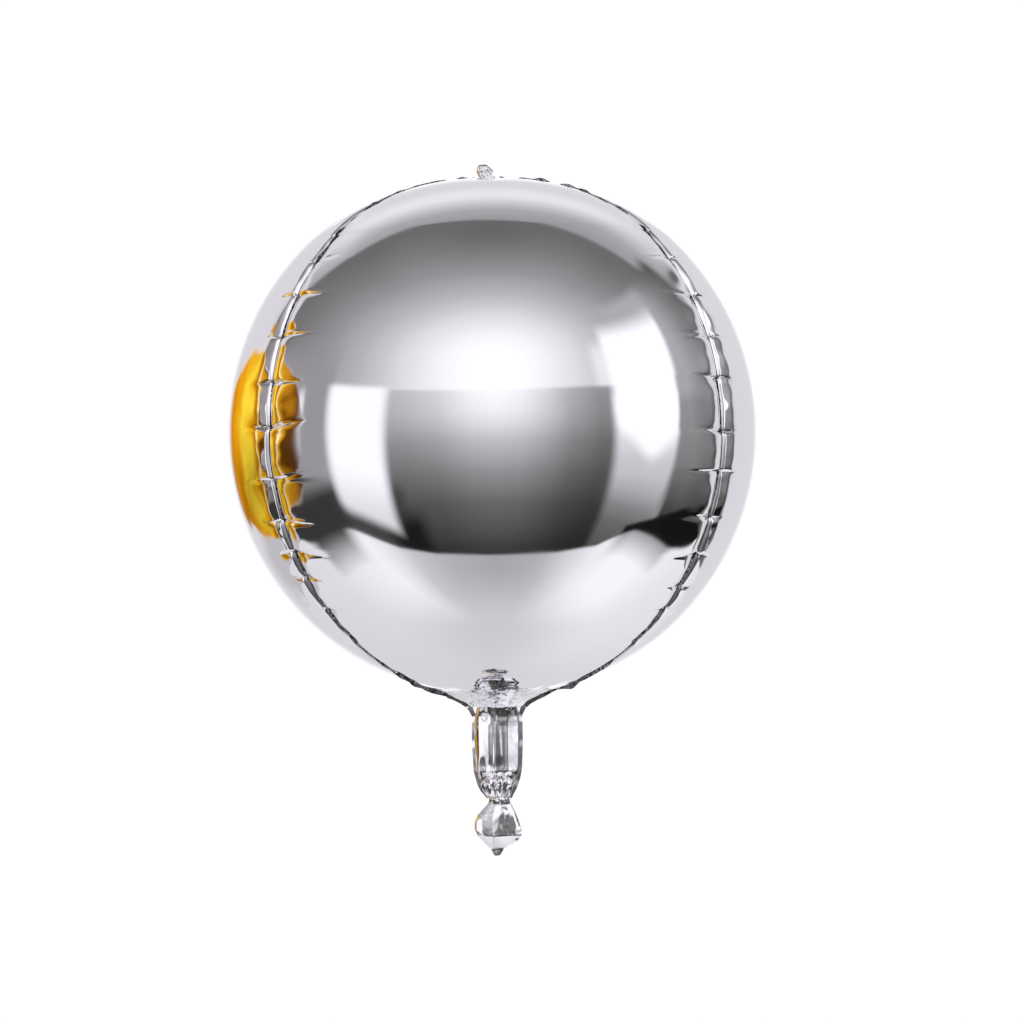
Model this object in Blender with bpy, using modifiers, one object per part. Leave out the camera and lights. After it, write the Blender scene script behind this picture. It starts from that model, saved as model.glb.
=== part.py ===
# Silver foil ball balloon: four welded film gores, a tab on the crown, a filling neck and its flared end.
# Metres. The centre of the ball is the origin, +Z runs up through the crown and -Y is the front.
import math

import bmesh
import bpy

MM = 0.001

# The ball
BALL_RADIUS = 200 * MM
FILM = 2.0 * MM  # wall of the solids; the real film is far thinner
FRONT_HALF_ANGLE = 55.5  # degrees of longitude from the front's middle to a front seam
CROWN_END = 87.6  # latitude where the gores stop at the crown
CROWN_DROP = 0.030 * BALL_RADIUS  # how far the crown is flattened
CROWN_SPREAD = 0.70 * BALL_RADIUS  # radius from the axis where the flattening ends

# The groove and puckers along the seams
GROOVE_DEPTH = 4.5 * MM
GROOVE_WIDTH = 11 * MM
PUCKER_REACH = 34 * MM
SEAM_GAP = 0.9 * MM  # from a seam's middle to the edge of a gore

# The bend from the ball into the neck, counted in degrees along the meridian down to -90
BELL_START = -73.6  # the gores end here, and the bell of the neck begins
BEND_START = -75.4
BELL_GAP = 0.17  # degrees of meridian between gore and bell
BEND_CORNER_Z = -201.3 * MM
BEND_END_Z = -216.5 * MM
MERGE_START = -66.0  # below it the seams turn towards the sides of the neck
MERGE_END = -81.6
SEAM_END = -79.0
SIDE_GORE_END = -77.5

# The welded margins
MARGIN_THICKNESS = 1.2 * MM
MARGIN_INSIDE = 1.8 * MM
MARGIN_OUTSIDE = 2.2 * MM
NECK_MARGIN_START = -79.4
NECK_MARGIN_OUTSIDE = 3.2 * MM

# The neck, the cinch and the flared end
NECK_HALF_WIDTH = 17.3 * MM
NECK_HALF_DEPTH = 12 * MM
NECK_GAP = 0.3 * MM
PLEAT_DEPTH = 0.9 * MM
CINCH_TOP_Z = -273.2 * MM
CINCH_BOTTOM_Z = -281.2 * MM
CINCH_HALF_WIDTH = 9.6 * MM
CINCH_HALF_DEPTH = 6.2 * MM
TIP_Z = -320.1 * MM

# The crown's gather and tab
GATHER_RADIUS = 7.8 * MM
GATHER_THICKNESS = 3.0 * MM
TAB_WIDTH = 13.4 * MM
TAB_HEIGHT = 10.0 * MM
TAB_THICKNESS = 2.0 * MM
TAB_CURL = 1.6 * MM

# Seams: name, longitude from the front towards +X, longitude of the side of the neck it runs to
SEAMS = (
    ("seam_front_right", FRONT_HALF_ANGLE, 90.0),
    ("seam_back_right", 180.0 - FRONT_HALF_ANGLE, 90.0),
    ("seam_back_left", 180.0 + FRONT_HALF_ANGLE, 270.0),
    ("seam_front_left", 360.0 - FRONT_HALF_ANGLE, 270.0),
)

# Puckers from the top down: latitude on the front right, back right, back left and front left seam,
# then how much of the groove's depth the crease keeps away from the seam
PUCKERS = (
    (46.0, 45.0, 46.5, 45.5, 0.45),
    (38.0, 36.5, 39.0, 38.0, 0.75),
    (28.0, 27.0, 29.5, 29.5, 0.90),
    (19.0, 18.0, 19.5, 20.0, 0.95),
    (9.6, 8.0, 10.5, 10.0, 0.95),
    (-1.6, -2.0, 0.5, 0.5, 1.10),
    (-10.0, -11.0, -9.0, -10.5, 1.00),
    (-20.0, -19.5, -20.0, -19.0, 0.95),
    (-28.0, -29.0, -27.5, -26.0, 0.90),
    (-36.0, -37.0, -35.0, -32.0, 0.70),
    (-42.0, -44.0, -42.0, -40.5, 0.45),
)

# Latitudes of the plain rows above and below the puckers
CROWN_ROWS = (CROWN_END, 82.0, 74.0, 64.0, 55.0)
BASE_ROWS = (-50.0, -58.0, MERGE_START, -69.0, -71.5, BELL_START, BEND_START)
BEND_ROWS = (SIDE_GORE_END, SEAM_END, -80.2, MERGE_END, -84.0, -87.0, -90.0)
ROWS_PER_PUCKER = 3

# Film panels: name, left seam, right seam, first and last row, columns from a seam to the middle as shares
WIDE_COLUMNS = (0.0, 0.026, 0.055, 0.105, 0.19, 0.45, 0.75)
SIDE_COLUMNS = (0.0, 0.042, 0.09, 0.17, 0.31, 0.62)
PANELS = (
    ("front_gore", 3, 0, CROWN_END, BELL_START, WIDE_COLUMNS),
    ("right_gore", 0, 1, CROWN_END, SIDE_GORE_END, SIDE_COLUMNS),
    ("back_gore", 1, 2, CROWN_END, BELL_START, WIDE_COLUMNS),
    ("left_gore", 2, 3, CROWN_END, SIDE_GORE_END, SIDE_COLUMNS),
    ("neck_bell_front", 3, 0, BELL_START - BELL_GAP, -90.0, WIDE_COLUMNS),
    ("neck_bell_back", 1, 2, BELL_START - BELL_GAP, -90.0, WIDE_COLUMNS),
)

# Sections of the neck from the ball down: height, half width, half depth, share of the pleats' depth
NECK_SECTIONS = (
    (BEND_END_Z - NECK_GAP, NECK_HALF_WIDTH, NECK_HALF_DEPTH, 0.0),
    (-222.0 * MM, NECK_HALF_WIDTH, 12.0 * MM, 0.8),
    (-235.0 * MM, NECK_HALF_WIDTH, 12.5 * MM, 1.0),
    (-250.0 * MM, NECK_HALF_WIDTH, 12.0 * MM, 1.0),
    (-259.5 * MM, 16.6 * MM, 11.0 * MM, 0.9),
    (-264.5 * MM, 14.2 * MM, 9.2 * MM, 0.8),
    (-269.5 * MM, 12.4 * MM, 7.8 * MM, 0.6),
    (CINCH_TOP_Z + NECK_GAP, 10.4 * MM, 6.8 * MM, 0.3),
)
NECK_COLUMNS = 14

# Corners of the flared end's front: x, y, z in millimetres from the cinch's underside and the axis
TAIL_CORNERS = (
    (-9.6, 0.0, -281.5), (10.0, 0.0, -281.5), (-3.0, -6.2, -281.5), (5.0, -5.4, -281.5),
    (-18.6, 0.0, -298.0), (17.6, 0.0, -305.2), (-15.6, -3.4, -294.0), (14.6, -4.2, -298.0),
    (-4.6, -9.0, -298.5), (9.0, -6.6, -300.5), (-4.0, -5.2, -311.0), (-1.9, 0.0, -320.1),
)
TAIL_GAP = 0.3 * MM


def smooth(share):
    share = min(max(share, 0.0), 1.0)
    return share * share * (3.0 - 2.0 * share)


def neck_radius(longitude):
    """Distance from the axis to the neck's oval wall."""
    turn = math.radians(longitude)
    return 1.0 / math.hypot(math.sin(turn) / NECK_HALF_WIDTH, math.cos(turn) / NECK_HALF_DEPTH)


def meridian(angle, longitude):
    """Distance from the axis and height of the smooth ball, or of its bend into the neck."""
    if angle >= BEND_START:
        out = BALL_RADIUS * math.cos(math.radians(angle))
        height = BALL_RADIUS * math.sin(math.radians(angle))
        if angle > 0.0 and out < CROWN_SPREAD:
            height -= CROWN_DROP * (1.0 - (out / CROWN_SPREAD) ** 2) ** 1.5
        return out, height
    share = (BEND_START - angle) / (BEND_START + 90.0)
    start_out, start_height = meridian(BEND_START, longitude)
    end_out = neck_radius(longitude)
    weights = ((1.0 - share) ** 2, 2.0 * share * (1.0 - share), share ** 2)
    out = weights[0] * start_out + (weights[1] + weights[2]) * end_out
    height = weights[0] * start_height + weights[1] * BEND_CORNER_Z + weights[2] * BEND_END_Z
    return out, height


def film_point(angle, longitude, sunk):
    """A point of the film, sunk below the smooth ball along its normal."""
    step = 0.05
    out, height = meridian(angle, longitude)
    above = meridian(min(angle + step, 90.0), longitude)
    below = meridian(max(angle - step, -90.0), longitude)
    run, rise = above[0] - below[0], above[1] - below[1]
    length = math.hypot(run, rise)
    out -= sunk * rise / length
    height += sunk * run / length
    turn = math.radians(longitude)
    return out * math.sin(turn), -out * math.cos(turn), height


def seam_longitude(seam, angle):
    """Longitude of a seam, which turns to the side of the neck near the base."""
    _, longitude, side = SEAMS[seam]
    share = smooth((MERGE_START - angle) / (MERGE_START - MERGE_END))
    return longitude + (side - longitude) * share


def edge_turn(seam, angle):
    """Degrees of longitude that keep a gore's edge clear of the seam's margin."""
    step = 0.2
    out, _ = meridian(angle, seam_longitude(seam, angle))
    shift = seam_longitude(seam, angle + step) - seam_longitude(seam, angle - step)
    across = out * math.radians(shift)
    along = BALL_RADIUS * math.radians(2.0 * step)
    return math.degrees(SEAM_GAP * math.hypot(across, along) / along / out)


def groove(angle):
    """Depth of the groove at a seam, which fades towards both poles."""
    return GROOVE_DEPTH * math.cos(math.radians(angle)) ** 0.7 if abs(angle) < 90.0 else 0.0


def seam_rows(seam):
    """Rows along one seam from the crown down: angle along the meridian, strength of the crease."""
    rows = [(angle, 0.0) for angle in CROWN_ROWS]
    for index, pucker in enumerate(PUCKERS):
        rows.append((pucker[seam], pucker[4]))
        if index + 1 < len(PUCKERS):
            span = PUCKERS[index + 1][seam] - pucker[seam]
            rows += [(pucker[seam] + span * k / ROWS_PER_PUCKER, 0.0) for k in range(1, ROWS_PER_PUCKER)]
    return rows + [(angle, 0.0) for angle in BASE_ROWS + BEND_ROWS]


def panel_rows(seam, first, last):
    """The rows of a seam that one panel covers, its own first row included."""
    rows = [row for row in seam_rows(seam) if last <= row[0] <= first]
    return rows if rows[0][0] == first else [(first, 0.0)] + rows


def sunk_by(angle, from_seam, crease):
    """Depth of the film below the smooth ball at an equatorial distance from the seam."""
    roll = max(0.0, 1.0 - from_seam / GROOVE_WIDTH) ** 2
    fold = crease * max(0.0, 1.0 - from_seam / PUCKER_REACH)
    return groove(angle) * (roll + (1.0 - roll) * fold)


def new_object(name, mesh, collection, material):
    item = bpy.data.objects.new(name, mesh)
    collection.objects.link(item)
    mesh.materials.append(material)
    return item


def grid_mesh(name, columns, rows, place):
    """A grid whose corners are moved to place(column, row), with row 0 at the top."""
    sheet = bmesh.new()
    bmesh.ops.create_grid(sheet, x_segments=columns, y_segments=rows, size=0.5)
    for corner in sheet.verts:
        column = round((corner.co.x + 0.5) * columns)
        row = round((0.5 - corner.co.y) * rows)
        corner.co = place(column, row)
    mesh = bpy.data.meshes.new(name)
    sheet.to_mesh(mesh)
    sheet.free()
    mesh.shade_smooth()
    return mesh


def add_wall(item, thickness, offset):
    wall = item.modifiers.new("film", "SOLIDIFY")
    wall.thickness = thickness
    wall.offset = offset


def make_material(name, colour, roughness):
    """Metallised film: bright, fully metallic and smooth."""
    material = bpy.data.materials.new(name)
    material.use_nodes = True
    shader = material.node_tree.nodes["Principled BSDF"]
    shader.inputs["Base Color"].default_value = (*colour, 1.0)
    shader.inputs["Metallic"].default_value = 1.0
    shader.inputs["Roughness"].default_value = roughness
    return material


def make_panel(panel, collection, material):
    name, left, right, first, last, half = panel
    rows_left = panel_rows(left, first, last)
    rows_right = panel_rows(right, first, last)
    shares = [0.5 * share for share in half]
    shares = shares + [0.5] + [1.0 - share for share in reversed(shares)]
    middle = seam_longitude(right, 0.0) - seam_longitude(left, 0.0)
    half_width = BALL_RADIUS * math.radians(middle % 360.0) / 2.0

    def place(column, row):
        share = shares[column]
        (angle_left, crease_left), (angle_right, crease_right) = rows_left[row], rows_right[row]
        angle = angle_left + (angle_right - angle_left) * smooth(share)
        start = seam_longitude(left, angle) + edge_turn(left, angle)
        span = (seam_longitude(right, angle) - edge_turn(right, angle) - start) % 360.0
        from_seam = half_width * 2.0 * min(share, 1.0 - share)
        crease = crease_left if share < 0.5 else crease_right
        return film_point(angle, start + span * share, sunk_by(angle, from_seam, crease))

    mesh = grid_mesh(name, len(shares) - 1, len(rows_left) - 1, place)
    add_wall(new_object(name, mesh, collection, material), FILM, -1.0)


def make_seam(seam, collection, material):
    name = SEAMS[seam][0]
    angles = [row[0] for row in seam_rows(seam) if row[0] >= SEAM_END]

    def place(column, row):
        angle = angles[row]
        stand = MARGIN_INSIDE if column == 0 else -MARGIN_OUTSIDE
        return film_point(angle, seam_longitude(seam, angle), groove(angle) + stand)

    mesh = grid_mesh(name, 1, len(angles) - 1, place)
    add_wall(new_object(name, mesh, collection, material), MARGIN_THICKNESS, 0.0)


def make_neck_wall(name, facing, collection, material):
    """Front wall where facing is -1, back wall where it is 1."""
    def place(column, row):
        height, half_width, half_depth, pleats = NECK_SECTIONS[row]
        edge = math.degrees(math.asin(SEAM_GAP / half_depth))
        turn = math.radians(-90.0 + edge + (180.0 - 2.0 * edge) * column / NECK_COLUMNS)
        pleat = PLEAT_DEPTH * pleats * (1.0 if column % 2 else -1.0)
        if column in (0, NECK_COLUMNS):
            pleat = 0.0
        side = -facing * (half_width + pleat) * math.sin(turn)
        return side, facing * (half_depth + pleat) * math.cos(turn), height

    mesh = grid_mesh(name, NECK_COLUMNS, len(NECK_SECTIONS) - 1, place)
    add_wall(new_object(name, mesh, collection, material), FILM, -1.0)


def make_neck_seam(name, side, collection, material):
    """Side margin of the neck, right where side is 1 and left where it is -1."""
    longitude = 90.0 if side > 0 else 270.0
    angles = [NECK_MARGIN_START] + [angle for angle in BEND_ROWS if angle < SEAM_END]
    bend = [film_point(angle, longitude, MARGIN_INSIDE) for angle in angles]
    rim = [film_point(angle, longitude, -NECK_MARGIN_OUTSIDE) for angle in angles]
    for height, half_width, _, _ in NECK_SECTIONS[1:]:
        bend.append((side * (half_width - MARGIN_INSIDE), 0.0, height))
        rim.append((side * (half_width + NECK_MARGIN_OUTSIDE * half_width / NECK_HALF_WIDTH), 0.0, height))

    def place(column, row):
        return bend[row] if column == 0 else rim[row]

    mesh = grid_mesh(name, 1, len(bend) - 1, place)
    add_wall(new_object(name, mesh, collection, material), MARGIN_THICKNESS, 0.0)


def make_cinch(collection, material):
    """The gather: an eight-sided oval prism, waisted a little at its middle."""
    body = bmesh.new()
    bmesh.ops.create_cone(body, cap_ends=True, segments=8, radius1=1.0, radius2=1.0, depth=1.0)
    for corner in body.verts:
        turn = math.atan2(corner.co.y, corner.co.x) + math.pi / 8.0
        corner.co.x = CINCH_HALF_WIDTH * math.cos(turn) / math.cos(math.pi / 8.0)
        corner.co.y = CINCH_HALF_DEPTH * math.sin(turn) / math.cos(math.pi / 8.0)
        corner.co.z = CINCH_TOP_Z if corner.co.z > 0 else CINCH_BOTTOM_Z
    mesh = bpy.data.meshes.new("neck_cinch")
    body.to_mesh(mesh)
    body.free()
    new_object("neck_cinch", mesh, collection, material)


def make_tail(name, facing, collection, material):
    """Half of the folded, flared end: front where facing is 1, back where it is -1."""
    body = bmesh.new()
    for x, y, z in TAIL_CORNERS:
        body.verts.new((x * MM, (y * MM - TAIL_GAP / 2.0) * facing, z * MM))
    bmesh.ops.convex_hull(body, input=body.verts)
    inner = [corner for corner in body.verts if not corner.link_faces]
    bmesh.ops.delete(body, geom=inner, context="VERTS")
    bmesh.ops.recalc_face_normals(body, faces=body.faces)
    mesh = bpy.data.meshes.new(name)
    body.to_mesh(mesh)
    body.free()
    new_object(name, mesh, collection, material)


def make_gather(collection, material):
    """The puckered film on the pole: a low dome."""
    _, crown = meridian(CROWN_END, 0.0)
    body = bmesh.new()
    bmesh.ops.create_cone(body, cap_ends=True, segments=20, radius1=GATHER_RADIUS,
                          radius2=GATHER_RADIUS * 0.8, depth=GATHER_THICKNESS)
    for corner in body.verts:
        corner.co.z += crown - GATHER_THICKNESS / 2.0 + 0.6 * MM
    mesh = bpy.data.meshes.new("crown_gather")
    body.to_mesh(mesh)
    body.free()
    new_object("crown_gather", mesh, collection, material)


def make_tab(collection, material):
    """The hanging tab: a flat plate with round shoulders, its top curled to the front."""
    _, crown = meridian(CROWN_END, 0.0)
    foot = crown + 0.6 * MM + NECK_GAP
    columns, rows = 6, 8

    def place(column, row):
        up = 1.0 - row / rows
        narrow = math.sqrt(max(0.0, 1.0 - max(0.0, up - 0.45) ** 2 / 0.36))
        side = TAB_WIDTH * (column / columns - 0.5) * (0.72 + 0.28 * smooth(up / 0.4)) * max(narrow, 0.35)
        curl = -TAB_CURL * max(0.0, up - 0.6) / 0.4
        return side, curl, foot + TAB_HEIGHT * up

    mesh = grid_mesh("hanging_tab", columns, rows, place)
    add_wall(new_object("hanging_tab", mesh, collection, material), TAB_THICKNESS, 0.0)


def main():
    for item in list(bpy.data.objects):
        bpy.data.objects.remove(item, do_unlink=True)
    balloon = bpy.data.collections.new("foil_ball_balloon")
    bpy.context.scene.collection.children.link(balloon)

    film = make_material("mirror_film", (0.86, 0.86, 0.87), 0.05)
    margin = make_material("welded_film", (0.62, 0.62, 0.64), 0.22)
    crumpled = make_material("crumpled_film", (0.82, 0.82, 0.83), 0.12)

    for panel in PANELS:
        make_panel(panel, balloon, film)
    for seam in range(len(SEAMS)):
        make_seam(seam, balloon, margin)
    make_gather(balloon, crumpled)
    make_tab(balloon, crumpled)
    make_neck_wall("neck_front", -1.0, balloon, crumpled)
    make_neck_wall("neck_back", 1.0, balloon, crumpled)
    make_neck_seam("neck_seam_right", 1.0, balloon, margin)
    make_neck_seam("neck_seam_left", -1.0, balloon, margin)
    make_cinch(balloon, crumpled)
    make_tail("tail_front", 1.0, balloon, crumpled)
    make_tail("tail_back", -1.0, balloon, crumpled)


main()
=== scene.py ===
import math
import random

import bmesh
import bpy
from mathutils import Matrix, Vector, noise


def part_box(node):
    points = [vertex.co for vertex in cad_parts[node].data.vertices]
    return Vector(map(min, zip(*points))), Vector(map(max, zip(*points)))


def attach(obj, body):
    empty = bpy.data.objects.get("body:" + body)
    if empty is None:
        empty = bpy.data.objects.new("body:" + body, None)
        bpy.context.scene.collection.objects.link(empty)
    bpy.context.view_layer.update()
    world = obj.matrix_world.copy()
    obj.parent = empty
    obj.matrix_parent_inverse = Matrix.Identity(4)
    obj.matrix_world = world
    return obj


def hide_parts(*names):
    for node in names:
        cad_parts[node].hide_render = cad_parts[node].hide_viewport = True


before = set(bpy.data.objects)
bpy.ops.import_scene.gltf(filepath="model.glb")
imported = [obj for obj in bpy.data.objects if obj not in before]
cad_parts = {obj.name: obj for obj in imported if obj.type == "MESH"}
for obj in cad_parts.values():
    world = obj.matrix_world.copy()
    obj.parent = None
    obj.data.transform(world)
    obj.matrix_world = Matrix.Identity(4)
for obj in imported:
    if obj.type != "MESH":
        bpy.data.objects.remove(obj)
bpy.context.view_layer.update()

mm = 0.001
rootBody = "root"
print("frame loaded")


def smooth(share):
    share = min(max(share, 0.0), 1.0)
    return share * share * (3.0 - 2.0 * share)


def linear(hexColour):
    # sRGB hex to linear
    parts = [int(hexColour[i:i + 2], 16) / 255.0 for i in (1, 3, 5)]
    return [c / 12.92 if c <= 0.04045 else ((c + 0.055) / 1.055) ** 2.4 for c in parts] + [1.0]


def lumps(point, size, *shift):
    # noise between -1 and 1, with lumps of about this size
    return noise.noise(point / size + Vector(shift or (0.0, 0.0, 0.0)))


def strip(*place):
    # noise read at a place of its own, for what runs along a seam
    return noise.noise(Vector(place))


def addNode(tree, kind, settings=None, links=None):
    # a link comes from a number, a socket or a node, which stands for its first output
    node = tree.nodes.new("ShaderNode" + kind)
    for key, value in (settings or {}).items():
        if isinstance(key, int) or key in node.inputs:
            node.inputs[key].default_value = value
        else:
            setattr(node, key, value)
    for key, source in (links or {}).items():
        if isinstance(source, (int, float)):
            node.inputs[key].default_value = source
        else:
            socket = source.outputs[0] if isinstance(source, bpy.types.Node) else source
            tree.links.new(socket, node.inputs[key])
    return node


def newMaterial(name):
    material = bpy.data.materials.new(name)
    material.use_nodes = True
    return material, material.node_tree, material.node_tree.nodes["Principled BSDF"]


# The ball, as measured on the solids: the left gore reaches one radius from the centre
ball = {
    "radius": -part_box("left_gore")[0][0],
    "halfAngle": 55.5,  # degrees from the front's middle to a front seam
    "crownEnd": 87.6,  # latitude where the film meets the gather under the tab
    "crownDrop": 0.042,  # flattening of the crown, share of the radius
    "crownSpread": 0.70,  # radius from the axis where that ends, share of the radius
    "crownRows": 72.0,  # above this latitude the rows of the mesh close up
    "baseRise": 0.012,  # the underside is a little flat too
    "baseSpread": 0.52,
    "bendStart": -75.4,  # where the ball starts to bend into the neck
    "bendCornerZ": -200.8 * mm,
    "bendEndZ": -212.0 * mm,
    "bellEnd": -86.4,  # the bell stops here and its lip rolls in over the neck
    "mergeStart": -66.0,  # from here the seams turn to the neck's sides
    "mergeEnd": -81.6,
    "seamDrift": 0.35,  # degrees that a seam wanders
    "neckHalfWidth": 17.3 * mm,
    "neckHalfDepth": 12.0 * mm,
}

# Seams: CAD node, longitude from the front towards +X, side of the neck it runs to
seams = (
    ("seam_front_right", ball["halfAngle"], 90.0),
    ("seam_back_right", 180.0 - ball["halfAngle"], 90.0),
    ("seam_back_left", 180.0 + ball["halfAngle"], 270.0),
    ("seam_front_left", 360.0 - ball["halfAngle"], 270.0),
)

# Puckers from the top down: latitude on each of the four seams, then the strength of the crease
puckers = (
    (57, 56, 58, 57.5, 0.30),
    (46, 45, 46.5, 45.5, 0.50),
    (38, 36.5, 39, 38, 0.80),
    (28, 27, 29.5, 29.5, 0.95),
    (19, 18, 19.5, 20, 0.95),
    (9.6, 8, 10.5, 10, 0.95),
    (-1.6, -2, 0.5, 0.5, 1.10),
    (-10, -11, -9, -10.5, 1.00),
    (-20, -19.5, -20, -19, 0.95),
    (-28, -29, -27.5, -26, 0.90),
    (-36, -37, -35, -32, 0.70),
    (-42, -44, -42, -40.5, 0.50),
    (-52, -53, -52.5, -50, 0.25),
)

# How the film is drawn in along a seam: a long shoulder, then a short steep drop to the weld
groove = {
    # depth, width and power of the shoulder, on the wide gores and on the side gores
    "shoulder": {"wide": (3.3 * mm, 22 * mm, 1.55), "side": (2.1 * mm, 12.5 * mm, 1.1)},
    "unrestSize": 9 * mm,  # the shoulder's width is uneven at this size
    "sideNarrow": (0.34, 28.0, 15.0),  # share left of a side shoulder from this latitude on, and the fade
    "drop": 1.7 * mm,
    "dropWidth": {"wide": 3.4 * mm, "side": 2.2 * mm},
    "reach": {"wide": 48 * mm, "side": 20 * mm},  # how far a strong crease runs into a gore
    "creaseHalf": 3.2 * mm,  # half width of a crease at the seam
    "creaseDepth": 2.0 * mm,
    "creaseLengths": (0.7, 1.15),  # shortest and longest, share of the reach
    "creaseSlants": (-0.12, 0.12),
    "pillow": 0.7 * mm,  # how far the film swells between two creases
    "pillowSize": 26 * mm,
    "pillowAt": 12 * mm,  # distance of the swell from the seam
    "pillowWidth": 11 * mm,
    "tilt": 0.030,  # each pillow stands at its own slight slope
    "tilts": (0.35, 1.0),  # least and most, share of the slope
    "tiltBlend": 5 * mm,
    "tiltReach": 62 * mm,
    "crimp": 0.30 * mm,  # small wrinkles along the weld
    "crimpSize": 5.0 * mm,
    "crimpAcross": 9 * mm,
    "crimpReach": 6 * mm,
    "crimpStart": 1.5 * mm,
    "gap": 0.35 * mm,
    "film": 0.4 * mm,  # thickness, thicker than real film so that it stays a clean solid
}

seeded = random.Random(7)
creaseLength = [[seeded.uniform(*groove["creaseLengths"]) for _ in puckers] for _ in seams]
creaseSlant = [[seeded.uniform(*groove["creaseSlants"]) for _ in puckers] for _ in seams]
pillowTilt = [
    [seeded.uniform(*groove["tilts"]) * (-1) ** k * groove["tilt"] for k in range(len(puckers) + 1)]
    for _ in seams
]


def neckRadius(longitude):
    turn = math.radians(longitude)
    across, deep = math.sin(turn) / ball["neckHalfWidth"], math.cos(turn) / ball["neckHalfDepth"]
    return 1.0 / math.hypot(across, deep)


def meridian(angle, longitude):
    radius = ball["radius"]
    if angle >= ball["bendStart"]:
        out = radius * math.cos(math.radians(angle))
        height = radius * math.sin(math.radians(angle))
        spread = ball["crownSpread"] * radius
        if angle > 0.0 and out < spread:
            height -= ball["crownDrop"] * radius * (1.0 - (out / spread) ** 2) ** 1.5
        spread = ball["baseSpread"] * radius
        if angle < 0.0 and out < spread:
            height += ball["baseRise"] * radius * (1.0 - (out / spread) ** 2) ** 1.5
        return out, height
    share = (ball["bendStart"] - angle) / (ball["bendStart"] + 90.0)
    startOut, startHeight = meridian(ball["bendStart"], longitude)
    endOut = neckRadius(longitude)
    a, b, c = (1.0 - share) ** 2, 2.0 * share * (1.0 - share), share ** 2
    out = a * startOut + (b + c) * endOut
    return out, a * startHeight + b * ball["bendCornerZ"] + c * ball["bendEndZ"]


def filmPoint(angle, longitude, sunk):
    # a point of the film, sunk below the smooth ball along its normal
    step = 0.05
    out, height = meridian(angle, longitude)
    above = meridian(min(angle + step, 90.0), longitude)
    below = meridian(max(angle - step, -90.0), longitude)
    run, rise = above[0] - below[0], above[1] - below[1]
    length = math.hypot(run, rise)
    out -= sunk * rise / length
    height += sunk * run / length
    turn = math.radians(longitude)
    return Vector((out * math.sin(turn), -out * math.cos(turn), height))


def seamLongitude(seam, angle):
    longitude, side = seams[seam][1:]
    drift = ball["seamDrift"] * strip(angle * 0.11, seam * 7.0, 0.5)
    merged = smooth((ball["mergeStart"] - angle) / (ball["mergeStart"] - ball["mergeEnd"]))
    return longitude + drift + (side - longitude) * merged


def edgeTurn(seam, angle):
    # degrees that keep a gore's edge clear of the welded margin
    step = 0.2
    out = meridian(angle, seamLongitude(seam, angle))[0]
    across = out * math.radians(seamLongitude(seam, angle + step) - seamLongitude(seam, angle - step))
    along = ball["radius"] * math.radians(2.0 * step)
    return math.degrees(groove["gap"] * math.hypot(across, along) / along / out)


def grooveFade(angle):
    # the seams are drawn in most at the level, not at the crown and the neck
    return max(math.cos(math.radians(angle)), 0.0) ** 0.8 * smooth((angle + 84.0) / 28.0)


def grooveDepth(angle):
    # depth at the weld, taken from the side gores, whose edges are the higher ones
    return (groove["shoulder"]["side"][0] + groove["drop"]) * grooveFade(angle)


# Rows of the mesh down a seam, from mark to mark; between creases they bunch up at the creases
rowCounts = {"crown": [14, 12], "between": 22, "base": [16, 14, 46], "bunch": 0.115}


def seamRows(seam, bottom):
    creases = [p[seam] for p in puckers]
    marks = [ball["crownEnd"], ball["crownRows"], *creases, ball["mergeStart"], ball["bendStart"], bottom]
    counts = rowCounts["crown"] + [rowCounts["between"]] * (len(puckers) - 1) + rowCounts["base"]
    rows = []
    for k, count in enumerate(counts):
        top, low = marks[k], marks[k + 1]
        for j in range(count):
            t = j / count
            if 2 <= k <= len(puckers):
                t -= rowCounts["bunch"] * math.sin(2.0 * math.pi * t)
            rows.append(top + (low - top) * t)
    return rows + [bottom]


def shoulderDepth(seam, along, angle, away, kind, between):
    fade = grooveFade(angle)
    unrest = strip(along / groove["unrestSize"], seam * 3.1, 2.0 if kind == "wide" else 6.0)
    depth, width, power = groove["shoulder"][kind]
    width *= (0.62 + 0.38 * fade) * (1.0 - 0.20 * between + 0.38 * unrest)
    if kind == "side":
        least, start, length = groove["sideNarrow"]
        width *= least + (1.0 - least) * smooth((start - abs(angle)) / length)
    sunk = depth * max(0.0, 1.0 - away / width) ** power
    return sunk + groove["drop"] * max(0.0, 1.0 - away / groove["dropWidth"][kind]) ** 2


def creaseFold(seam, along, away, kind):
    # sharp creases that run out from the seam, each deepest at the seam and steeper on its upper side
    fold = 0.0
    for k, pucker in enumerate(puckers):
        strength = pucker[4]
        t = away / (groove["reach"][kind] * (0.45 + 0.55 * strength) * creaseLength[seam][k])
        if t >= 1.0:
            continue
        offset = along - math.radians(pucker[seam]) * ball["radius"] - creaseSlant[seam][k] * away
        half = groove["creaseHalf"] * (1.0 - 0.72 * t) * (0.75 if offset > 0.0 else 1.25)
        x = abs(offset) / half
        if x < 1.0:
            fold += strength * groove["creaseDepth"] * (1.0 - t) ** 1.05 * (1.0 - x) ** 1.6
    return fold


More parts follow.
